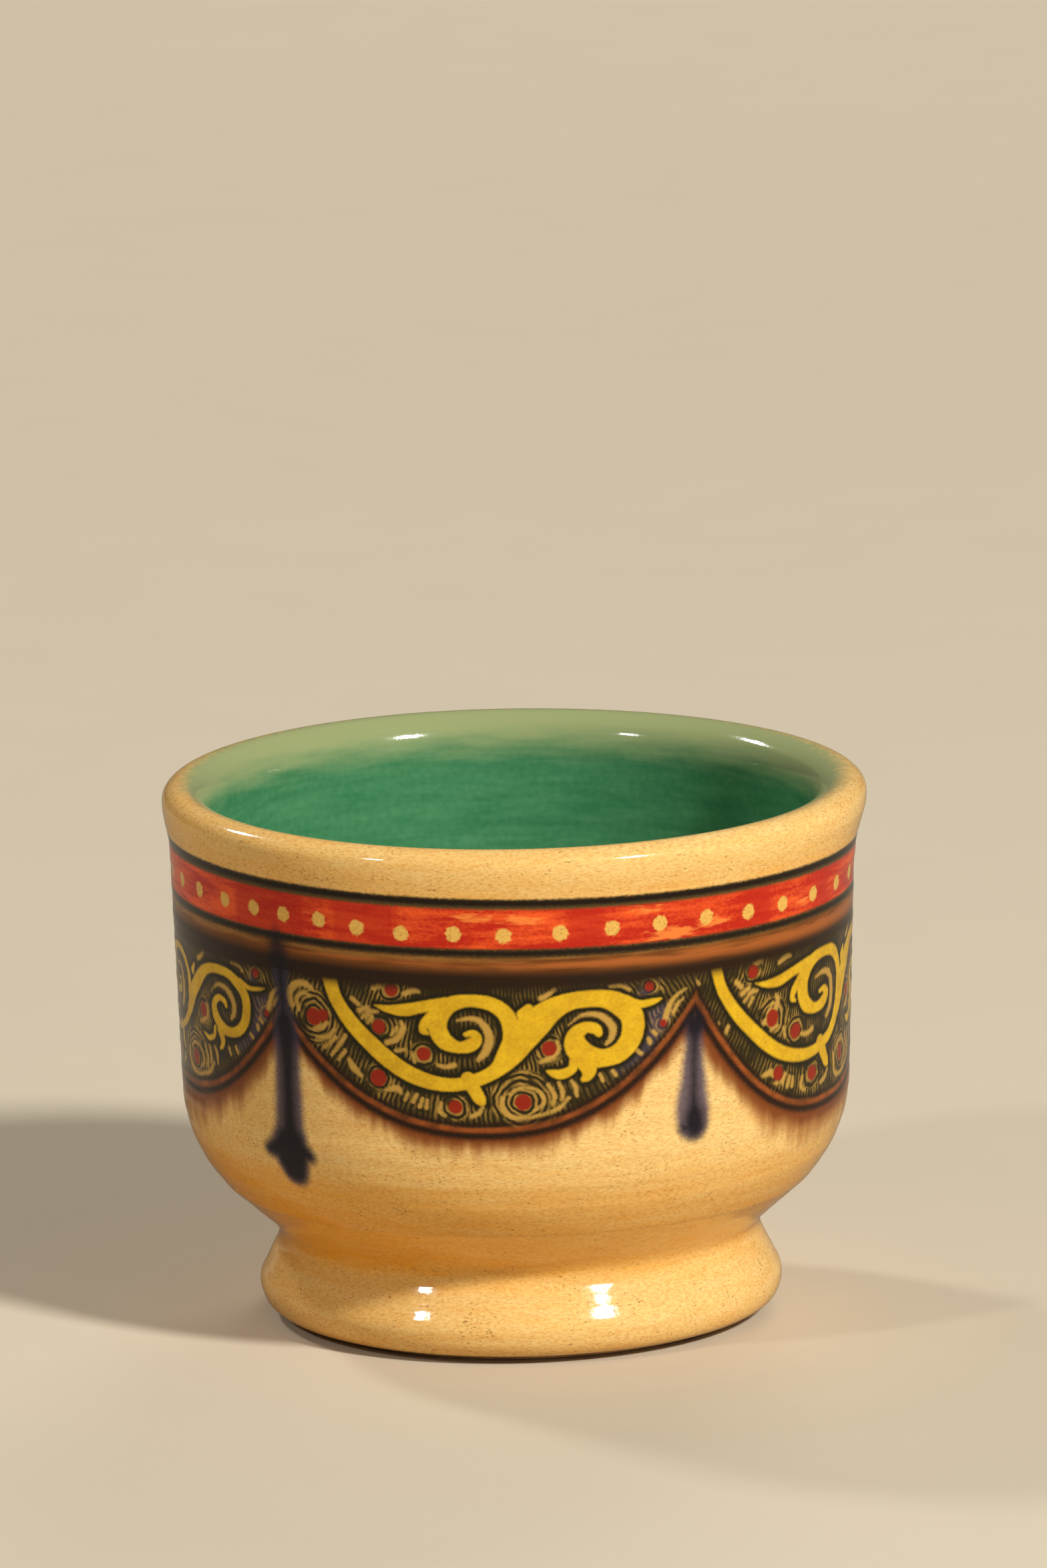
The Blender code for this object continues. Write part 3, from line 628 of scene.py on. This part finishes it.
# Cream strokes between scroll and scallop, in rows like the scroll's
CREAMS = (
    ((-40.5, 47.8, 0.45), (-40.8, 49.3, 0.55), (-39.3, 50.5, 0.5), (-37.5, 50.8, 0.45), (-35.8, 50.2, 0.25)),
    ((-38.9, 47.3, 0.3), (-39.2, 48.7, 0.32), (-37.8, 49.5, 0.3), (-36.4, 49.3, 0.2)),
    ((-35.8, 45.0, 0.25), (-34.3, 45.3, 0.35), (-33.0, 46.0, 0.25)),
    ((-35.2, 43.9, 0.22), (-33.2, 44.2, 0.3), (-31.6, 45.2, 0.25)),
    ((-33.6, 42.8, 0.22), (-31.5, 44.2, 0.3)),
    ((-32.3, 41.9, 0.25), (-30.6, 43.5, 0.32), (-29.6, 44.6, 0.3)),
    ((-31.0, 41.4, 0.22), (-29.7, 42.6, 0.28)),
    ((-28.9, 41.5, 0.3), (-28.2, 40.6, 0.5), (-26.8, 39.6, 0.3)),
    ((-22.2, 38.0, 0.25), (-20.3, 38.3, 0.42), (-19.6, 37.8, 0.25)),
    ((-18.9, 36.9, 0.2), (-18.3, 37.7, 0.22)),
    ((-17.5, 36.7, 0.28), (-16.8, 37.6, 0.25)),
    ((-16.4, 36.1, 0.28), (-15.8, 37.1, 0.25)),
    ((-15.2, 36.0, 0.28), (-15.0, 36.9, 0.22)),
    ((-12.6, 36.6, 0.25), (-13.0, 35.6, 0.28), (-12.0, 35.0, 0.2)),
    ((-7.4, 35.0, 0.28), (-6.2, 35.5, 0.3), (-5.6, 36.2, 0.2)),
    ((-28.0, 49.6, 0.32), (-26.8, 48.9, 0.3)),
    ((-26.8, 48.1, 0.3), (-25.2, 48.6, 0.3)),
    ((-26.2, 47.2, 0.22), (-24.7, 48.1, 0.28), (-23.4, 48.1, 0.2)),
    ((-25.2, 46.6, 0.2), (-24.4, 47.4, 0.25)),
    ((-21.9, 44.2, 0.35), (-20.0, 44.8, 0.4), (-18.9, 46.1, 0.4), (-19.2, 47.0, 0.22)),
    ((-21.0, 45.2, 0.2), (-20.0, 46.2, 0.25)),
    ((-20.3, 43.2, 0.25), (-18.8, 43.4, 0.22)),
    ((-24.0, 51.2, 0.3), (-22.8, 51.5, 0.35)),
    ((-18.6, 50.7, 0.28), (-17.0, 51.2, 0.35), (-16.0, 51.1, 0.2)),
    ((-17.0, 41.9, 0.2), (-17.4, 43.0, 0.22)),
    ((-12.9, 41.6, 0.25), (-11.6, 41.4, 0.3), (-10.2, 41.7, 0.35)),
    (
        (-9.5, 47.5, 0.15), (-7.5, 47.8, 0.3), (-5.8, 47.4, 0.4), (-4.6, 46.2, 0.5), (-4.3, 44.8, 0.58),
        (-5.0, 43.4, 0.5), (-6.2, 42.4, 0.25),
    ),
    (
        (9.0, 46.7, 0.12), (11.0, 47.8, 0.22), (13.2, 47.9, 0.35), (15.2, 47.2, 0.45), (16.4, 45.9, 0.5),
        (16.2, 44.7, 0.4), (15.3, 43.9, 0.22),
    ),
    ((4.2, 42.0, 0.25), (6.0, 42.6, 0.42), (7.2, 43.6, 0.3), (7.0, 44.6, 0.22)),
    ((4.3, 50.3, 0.32), (5.2, 50.6, 0.35), (6.6, 51.4, 0.22)),
    ((16.0, 51.4, 0.2), (18.0, 51.3, 0.25), (19.3, 50.7, 0.2)),
    (
        (-2.3, 37.4, 0.3), (-2.3, 36.1, 0.35), (-1.2, 35.1, 0.35), (1.0, 34.7, 0.3), (4.0, 35.0, 0.3),
        (7.0, 35.8, 0.3), (8.8, 37.2, 0.25),
    ),
    ((-1.0, 37.9, 0.22), (0.4, 38.6, 0.25), (2.6, 38.6, 0.22), (4.3, 37.8, 0.25), (4.6, 36.6, 0.25), (3.0, 35.7, 0.2)),
    ((5.4, 39.0, 0.25), (6.4, 37.6, 0.3), (6.1, 36.4, 0.25)),
    ((7.2, 39.2, 0.22), (7.8, 38.0, 0.3), (7.6, 37.0, 0.22)),
    ((9.3, 39.4, 0.2), (10.0, 38.5, 0.32), (10.2, 37.4, 0.22)),
    ((14.2, 40.0, 0.22), (14.6, 39.2, 0.28)),
    ((16.4, 40.3, 0.28), (16.9, 39.7, 0.25)),
    ((25.6, 46.1, 0.35), (26.2, 47.4, 0.42), (27.2, 48.8, 0.32), (28.8, 49.7, 0.2), (29.8, 50.0, 0.1)),
    ((27.4, 47.2, 0.28), (28.2, 48.2, 0.26), (29.2, 48.8, 0.12)),
    ((23.6, 45.0, 0.25), (24.1, 44.6, 0.28)),
    ((22.8, 44.0, 0.3), (23.0, 43.5, 0.3)),
    ((20.8, 42.6, 0.25), (21.5, 42.2, 0.25)),
)
# Cobalt that ran into the field below the tassel's cusp, in one row like the scroll's
COBALT_GROUND = ((17.5, 41.0, 0.9), (20.5, 42.2, 1.3), (23.0, 44.2, 1.5), (24.2, 47.0, 1.6), (22.0, 49.8, 0.9))
# Tassels, one to each cusp: strokes of cobalt wash and of thick cobalt in rows of (degrees from the cusp, height,
# half width)
LONG_TASSEL = (
    (
        (
            (-0.1, 54.0, 1.5), (0.1, 50.0, 1.0), (0.3, 47.0, 1.0), (0.5, 45.2, 1.7), (0.7, 42.0, 2.1),
            (0.7, 36.0, 2.35), (0.6, 31.0, 2.6), (0.4, 28.7, 3.2), (0.8, 25.8, 2.3),
        ),
        ((0.0, 29.0, 2.4), (-2.5, 28.4, 1.6), (-4.6, 28.1, 0.8)),
        ((1.0, 29.0, 2.4), (3.0, 28.4, 1.5), (4.9, 27.9, 0.75)),
    ),
    (
        (
            (-0.1, 54.0, 1.3), (0.1, 50.0, 0.8), (0.3, 46.6, 0.8), (0.5, 45.0, 1.6), (0.8, 42.0, 1.4),
            (0.7, 36.0, 1.15), (0.7, 31.0, 1.5), (0.5, 28.6, 2.9), (0.8, 25.7, 2.1),
        ),
        ((0.0, 28.8, 2.0), (-2.5, 28.4, 1.5), (-4.4, 28.1, 0.9)),
        ((1.0, 28.6, 2.0), (3.0, 28.4, 1.4), (4.7, 27.9, 0.8)),
    ),
)
SHORT_TASSEL = (
    (
        (
            (-0.3, 45.0, 1.0), (-0.4, 41.0, 1.5), (-0.4, 38.0, 1.9), (-0.5, 36.0, 2.2), (-0.5, 34.2, 2.5),
            (-0.4, 32.4, 2.4),
        ),
        ((-2.6, 33.8, 0.9), (-0.4, 33.6, 1.2)),
    ),
    (
        (
            (0.0, 46.6, 0.5), (-0.1, 45.6, 1.5), (-0.1, 44.8, 1.5), (-0.2, 43.0, 0.75), (-0.3, 38.0, 0.55),
            (-0.3, 35.0, 0.8), (-0.2, 33.0, 1.5), (-0.1, 31.8, 1.6),
        ),
        ((-2.0, 31.8, 0.7), (0.0, 31.6, 1.0)),
    ),
)
TASSELS = (LONG_TASSEL, SHORT_TASSEL, LONG_TASSEL, SHORT_TASSEL, LONG_TASSEL)


def scallop(turn):
    """Height of the scalloped edge at any turn: up from the swag's lowest point to the line between its cusps by the
    share of the way from its middle to a cusp, to the swag's power."""
    ends = np.radians([*CUSPS, CUSPS[0] + 360])
    turn = ends[0] + np.mod(turn - ends[0], 2 * math.pi)
    which = np.clip(np.searchsorted(ends, turn, side="right") - 1, 0, len(CUSPS) - 1)
    share = (turn - ends[which]) / (ends[which + 1] - ends[which])
    cusps = np.array([*CUSP_HEIGHTS, CUSP_HEIGHTS[0]])
    lowest = SCROLL_TOP - np.array(SWAG_DEPTHS)[which]
    line = cusps[which] + (cusps[which + 1] - cusps[which]) * share
    return lowest + (line - lowest) * np.abs(2 * share - 1) ** np.array(SWAG_POWERS)[which]


def pooled_and_painted_shade(turn, height):
    """How deep an amber the honey glaze takes, from 0 to 1: by straight lines between the listed heights, which hold
    both the glaze's pools and painted shade under the belly, and by painted shade at the turn, the more the deeper
    the pool."""
    tone = np.interp(height, POOL_AND_SHADE_HEIGHTS, POOL_AND_SHADE_TONES)
    return 0.68 * tone + painted_shade_by_turn(turn) * (1 + 4.5 * tone)


def swag_colour(tree):
    """A swag's layers: the bleed, the dark field with cream rings, the scroll and its dark outline, the berries,
    the lines on the scallop, the shade under the border, and the tassel on top of them all."""
    fine = grain(tree, 0.45, (1, 1, 1.3))
    streak = grain(tree, 5.0, (1, 1, 7), 4.0)
    run = grain(tree, 2.4, (1, 1, 0.14), 3.0)
    blotch = grain(tree, 2.5)
    colour = honey_colour(tree)
    colour = brushed(tree, colour, linear(BLEED_RUN), "bleed", 1.8, 6.0, run, 0.75)
    colour = brushed(tree, colour, linear(BLEED_BROWN), "halo", 1.1, 2.4, run, 0.95)
    ring = node(tree, "Attribute", attribute_name="ring").outputs["Fac"]
    ring = node(tree, "Math", {0: blotch, 1: 1.3, 2: ring}, operation="MULTIPLY_ADD").outputs[0]
    ring = node(tree, "Math", {0: ring, 1: 2 * math.pi / HATCH_SPACING}, operation="MULTIPLY").outputs[0]
    ring = node(tree, "Math", {0: ring}, operation="SINE").outputs[0]
    hatch = node(tree, "MapRange", {0: ring, 1: -0.9, 2: 1.2, 4: 0.45}, interpolation_type="SMOOTHSTEP").outputs[0]
    hatched = node(tree, "Attribute", attribute_name="hatched").outputs["Fac"]
    hatch = node(tree, "Math", {0: hatch, 1: hatched}, operation="MULTIPLY").outputs[0]
    field = node(tree, "Mix", {0: hatch, 6: linear(PANEL_DARK), 7: linear(PANEL_CREAM)}, data_type="RGBA").outputs[2]
    patch = node(tree, "MapRange", {0: grain(tree, 2.2), 1: 0.45, 2: 0.62, 4: 0.9}).outputs[0]
    field = node(tree, "Mix", {0: patch, 6: field, 7: linear(PANEL_DARK)}, data_type="RGBA").outputs[2]
    colour = brushed(tree, colour, field, "panel", 0.2, 0.3, fine)
    colour = brushed(tree, colour, linear(COBALT_WASH), "cobalt_ground", 0.9, 1.2, blotch, 0.45)
    colour = brushed(tree, colour, linear(VINE_EDGE), "vine_edge", 0.4, 0.5, fine)
    colour = brushed(tree, colour, linear(PANEL_CREAM), "cream", 0.22, 0.3, fine, 0.9)
    yellow = node(tree, "Math", {0: fine, 1: 0.8, 2: blotch}, operation="MULTIPLY_ADD").outputs[0]
    yellow = node(tree, "MapRange", {0: yellow, 1: 0.65, 2: 1.25}).outputs[0]
    yellow = node(tree, "Mix", {0: yellow, 6: linear(VINE_YELLOW), 7: linear(VINE_DEEP)}, data_type="RGBA").outputs[2]
    colour = brushed(tree, colour, yellow, "vine", 0.2, 0.2, fine)
    colour = brushed(tree, colour, linear(BERRY_RED), "berry", 0.18, 0.3, fine)
    colour = brushed(tree, colour, linear(EDGE_DARK), "dark_edge", 0.42, 0.35, fine)
    brown = node(tree, "MapRange", {0: blotch, 1: 0.35, 2: 0.65}).outputs[0]
    brown = node(tree, "Mix", {0: brown, 6: linear(EDGE_BROWN), 7: linear(EDGE_STREAK)}, data_type="RGBA").outputs[2]
    colour = brushed(tree, colour, brown, "brown_edge", 0.25, 0.35, streak)
    colour = brushed(tree, colour, linear(BROWN_DARK), "shade", 0.8, 0.5, streak)
    colour = brushed(tree, colour, linear(COBALT_WASH), "wash", 0.8, 0.5, fine, 0.9)
    return brushed(tree, colour, linear(COBALT), "tassel", 1.1, 0.5, fine, 0.95)


# The same slip and glaze: the yellow hides what is below it, and the cobalt ran the farthest.
painted_swag = finish("slip painted swag under clear glaze", swag_colour, *glaze_look)
marks = np.vstack([through(stroke, 6) for stroke in STROKES])
marks[:, 0] = np.radians(marks[:, 0]) * WALL_RADIUS
creams = np.vstack([through(stroke, 5) for stroke in CREAMS])
creams[:, 0] = np.radians(creams[:, 0]) * WALL_RADIUS
ground = through(COBALT_GROUND, 8)
ground[:, 0] = np.radians(ground[:, 0]) * WALL_RADIUS
front_span = np.radians(CUSPS[1] - CUSPS[0])
section, drops, seen = coat(BORDER_END, FRIEZE_END, 0.2)
for swag, left in enumerate(CUSPS):
    right = [*CUSPS[1:], CUSPS[0] + 360][swag]
    turns = np.radians(np.linspace(left, right, 361))
    piece = turned(f"painted_swag_{swag + 1}", section, drops, seen, turns, 1)
    turn, drop = (x.ravel() for x in np.meshgrid(turns, drops, indexing="ij"))
    height = LEVEL - drop
    across = turn * WALL_RADIUS

    share = (turn - turns[0]) / (turns[-1] - turns[0])
    near, far = SWAG_LEANS[swag]
    share = share + near * np.clip(1 - (2 * share) ** 2, 0, 1) + far * np.clip(1 - (2 - 2 * share) ** 2, 0, 1)
    scroll_across = (math.radians(CUSPS[0]) + front_span * share) * WALL_RADIUS
    scroll_height = SCROLL_TOP - (SCROLL_TOP - height) * SWAG_DEPTHS[0] / SWAG_DEPTHS[swag]
    vine = nearest_inside(scroll_across, scroll_height, marks * (1, 1, SCROLL_WIDTHS[swag]))
    berries = np.array(SWAG_BERRIES[swag]) * (math.radians(WALL_RADIUS), 1, 1, 1)
    berry = nearest_inside(scroll_across, scroll_height, berries)
    berry_far = np.hypot(scroll_across[:, None] - berries[:, 0], scroll_height[:, None] - berries[:, 1])
    past_rings = np.min(berry_far - berries[:, 3], axis=1)
    ringed = np.take_along_axis(berry_far, np.argmin(berry_far - berries[:, 3], axis=1)[:, None], axis=1)[:, 0]

    edge = scallop(turns)
    slope = np.gradient(edge, turns * WALL_RADIUS)
    steep = np.hypot(1, slope)
    run = np.cumsum(steep) * (turns[1] - turns[0]) * WALL_RADIUS
    edge, lean, steep, run = (np.repeat(x, len(drops)) for x in (edge, slope / steep, steep, run))
    above = (height - edge) / steep
    square = run + above * lean

    cobalt = []
    for layer in (0, 1):
        tassels = [(left, TASSELS[swag][layer]), (right, TASSELS[(swag + 1) % len(CUSPS)][layer])]
        spots = np.vstack([through(row, 20) + (cusp, 0, 0) for cusp, rows in tassels for row in rows])
        spots[:, 0] = np.radians(spots[:, 0]) * WALL_RADIUS
        cobalt.append(nearest_inside(across, height, spots))
    note(
        piece,
        # The tone holds the glaze's pools with painted shade under the belly and away from the key lamp.
        tone=pooled_and_painted_shade(turn, height),
        bleed=3.2 + SWAG_BLEEDS[swag] - (edge - height),
        halo=above + 2.3 + 0.3 * SWAG_BLEEDS[swag],
        panel=above,
        ring=np.where(past_rings < 0, ringed, square),
        hatched=np.clip(1.5 - past_rings / 1.5, 0.4, 1.5),
        vine=vine,
        vine_edge=np.minimum(vine + 0.65, above),
        cream=np.minimum(nearest_inside(scroll_across, scroll_height, creams), above - 0.6),
        cobalt_ground=np.minimum(nearest_inside(scroll_across, scroll_height, ground), above),
        berry=np.minimum(berry, above - 0.5),
        dark_edge=np.maximum(0.5 - np.abs(above + 0.8), 0.32 - np.abs(above - 0.65)),
        brown_edge=0.3 - np.abs(above),
        shade=height - SWAG_SHADE,
        wash=cobalt[0],
        tassel=cobalt[1],
    )
    piece.data.materials.append(painted_swag)
    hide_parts(f"swag_panel_{swag + 1}", f"tassel_{swag + 1}")


# Body glaze: honey glaze from the tassels' tips down over the belly, the crease at the waist and the foot. It pools
# amber under the belly and in the crease, where the amber is also painted shade, and breaks lighter over the foot's
# shoulder and roll. Painted shade makes it deeper amber towards the side away from the key lamp.
section, drops, seen = coat(FRIEZE_END, glaze_end, 0.5)
body = turned("honey_glaze_body", section, drops, seen, all_round, 3)
note(body, tone=pooled_and_painted_shade(all_round[:, None], section[:, 1]).ravel())
# Lead glaze stained by iron: clear amber, deeper where it is thick and where shade is painted in, over the clay's
# grain and specks.
honey_glaze = finish("honey lead glaze", honey_colour, *glaze_look)
body.data.materials.append(honey_glaze)
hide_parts("body_glaze")


# Studio: a pale floor wide enough to fill the picture, three lamps that glint in the glaze, two weak ones that only
# fill, a pale sky, and the camera that the outline of the cup was fitted with: 2 m away, 12.87 degrees above it,
# turned 0.98 degrees about its own axis.
FLOOR_COLOUR = "#cbbda4"
FLOOR_CLOUD = "#c0b197"
FLOOR_REACH = 6000.0
MIRROR_HELD_BACK = 0.6
SKY_COLOUR = "#efe4d4"
CAMERA_DISTANCE = 2000.0
CAMERA_RISE = math.radians(12.866)
CAMERA_ROLL = math.radians(0.977)
AIM_HEIGHT = 34.0
FOCAL_PIXELS = 23214.0
PICTURE = (1568, 2349)
AIM_PIXEL = (771.7, 1570.6)
# Lamps, each (name, degrees from the front, degrees up, distance, width, watts)
LAMPS = (
    ("key", 43, 37, 2200, 280, 53.0),
    ("fill", -52, 36, 2200, 180, 9.3),
    ("side", -135, 40, 2200, 260, 14.0),
    ("back", 165, 28, 2200, 900, 14.0),
    ("low", 36, 8, 2200, 700, 4.5),
)


def floor_colour(tree):
    """Plain pale paper, with the faintest cloud so that it is no flat colour. Its mirror image in the glaze is held
    back to less than half, as a polarising filter does."""
    cloud = node(tree, "MapRange", {0: grain(tree, 90.0), 3: 0.0, 4: 0.12}).outputs[0]
    paper = node(tree, "Mix", {0: cloud, 6: linear(FLOOR_COLOUR), 7: linear(FLOOR_CLOUD)}, data_type="RGBA").outputs[2]
    mirrored = node(tree, "LightPath").outputs["Is Glossy Ray"]
    held_back = node(tree, "Math", {0: mirrored, 1: MIRROR_HELD_BACK}, operation="MULTIPLY").outputs[0]
    return node(tree, "Mix", {0: held_back, 6: paper, 7: (0, 0, 0, 1)}, data_type="RGBA").outputs[2]


mesh = bpy.data.meshes.new("floor")
corners = np.array([(-1, -1, 0), (1, -1, 0), (1, 1, 0), (-1, 1, 0)]) * FLOOR_REACH * MM
mesh.from_pydata(corners, [], [(0, 1, 2, 3)])
floor = bpy.data.objects.new("floor", mesh)
bpy.context.scene.collection.objects.link(floor)
# Matt paper: no glint, only the cup's shadow.
mesh.materials.append(
    finish("pale paper", floor_colour, (0.8, 0.9), lambda t: grain(t, 20.0), lambda t: grain(t, 3.0), 0.02)
)

aim = Vector((0, 0, AIM_HEIGHT)) * MM
for name, side, rise, far, size, power in LAMPS:
    lamp = bpy.data.lights.new(name, "AREA")
    lamp.shape = "DISK"
    lamp.size = size * MM
    lamp.energy = power
    away = Vector((
        math.sin(math.radians(side)) * math.cos(math.radians(rise)),
        -math.cos(math.radians(side)) * math.cos(math.radians(rise)),
        math.sin(math.radians(rise)),
    ))
    stand = bpy.data.objects.new(name, lamp)
    stand.location = aim + away * far * MM
    stand.rotation_euler = away.to_track_quat("Z", "Y").to_euler()
    # The back and the low lamp only fill: glints of them would ring the lip and the foot.
    stand.visible_glossy = name not in ("back", "low")
    bpy.context.scene.collection.objects.link(stand)

world = bpy.data.worlds.new("pale sky")
world.use_nodes = True
world.node_tree.nodes.clear()
sky = node(world.node_tree, "Background", {"Color": linear(SKY_COLOUR), "Strength": 0.09})
node(world.node_tree, "OutputWorld", {"Surface": sky.outputs[0]})
bpy.context.scene.world = world

place = aim + Vector((0, -math.cos(CAMERA_RISE), math.sin(CAMERA_RISE))) * CAMERA_DISTANCE * MM
forward = (aim - place).normalized()
level = Vector((1, 0, 0))
upright = level.cross(forward)
across = level * math.cos(CAMERA_ROLL) - upright * math.sin(CAMERA_ROLL)
upward = level * math.sin(CAMERA_ROLL) + upright * math.cos(CAMERA_ROLL)
offset = (AIM_PIXEL[0] - PICTURE[0] / 2, AIM_PIXEL[1] - PICTURE[1] / 2)
forward = (forward - across * (offset[0] / FOCAL_PIXELS) + upward * (offset[1] / FOCAL_PIXELS)).normalized()
across = (across - forward * across.dot(forward)).normalized()
lens = bpy.data.cameras.new("camera")
lens.lens = lens.sensor_width * FOCAL_PIXELS / max(PICTURE)
camera = bpy.data.objects.new("camera", lens)
camera.matrix_world = Matrix((across, across.cross(-forward) * -1, -forward)).transposed().to_4x4()
camera.location = place
bpy.context.scene.collection.objects.link(camera)
bpy.context.scene.camera = camera
bpy.context.scene.view_settings.view_transform = "Standard"
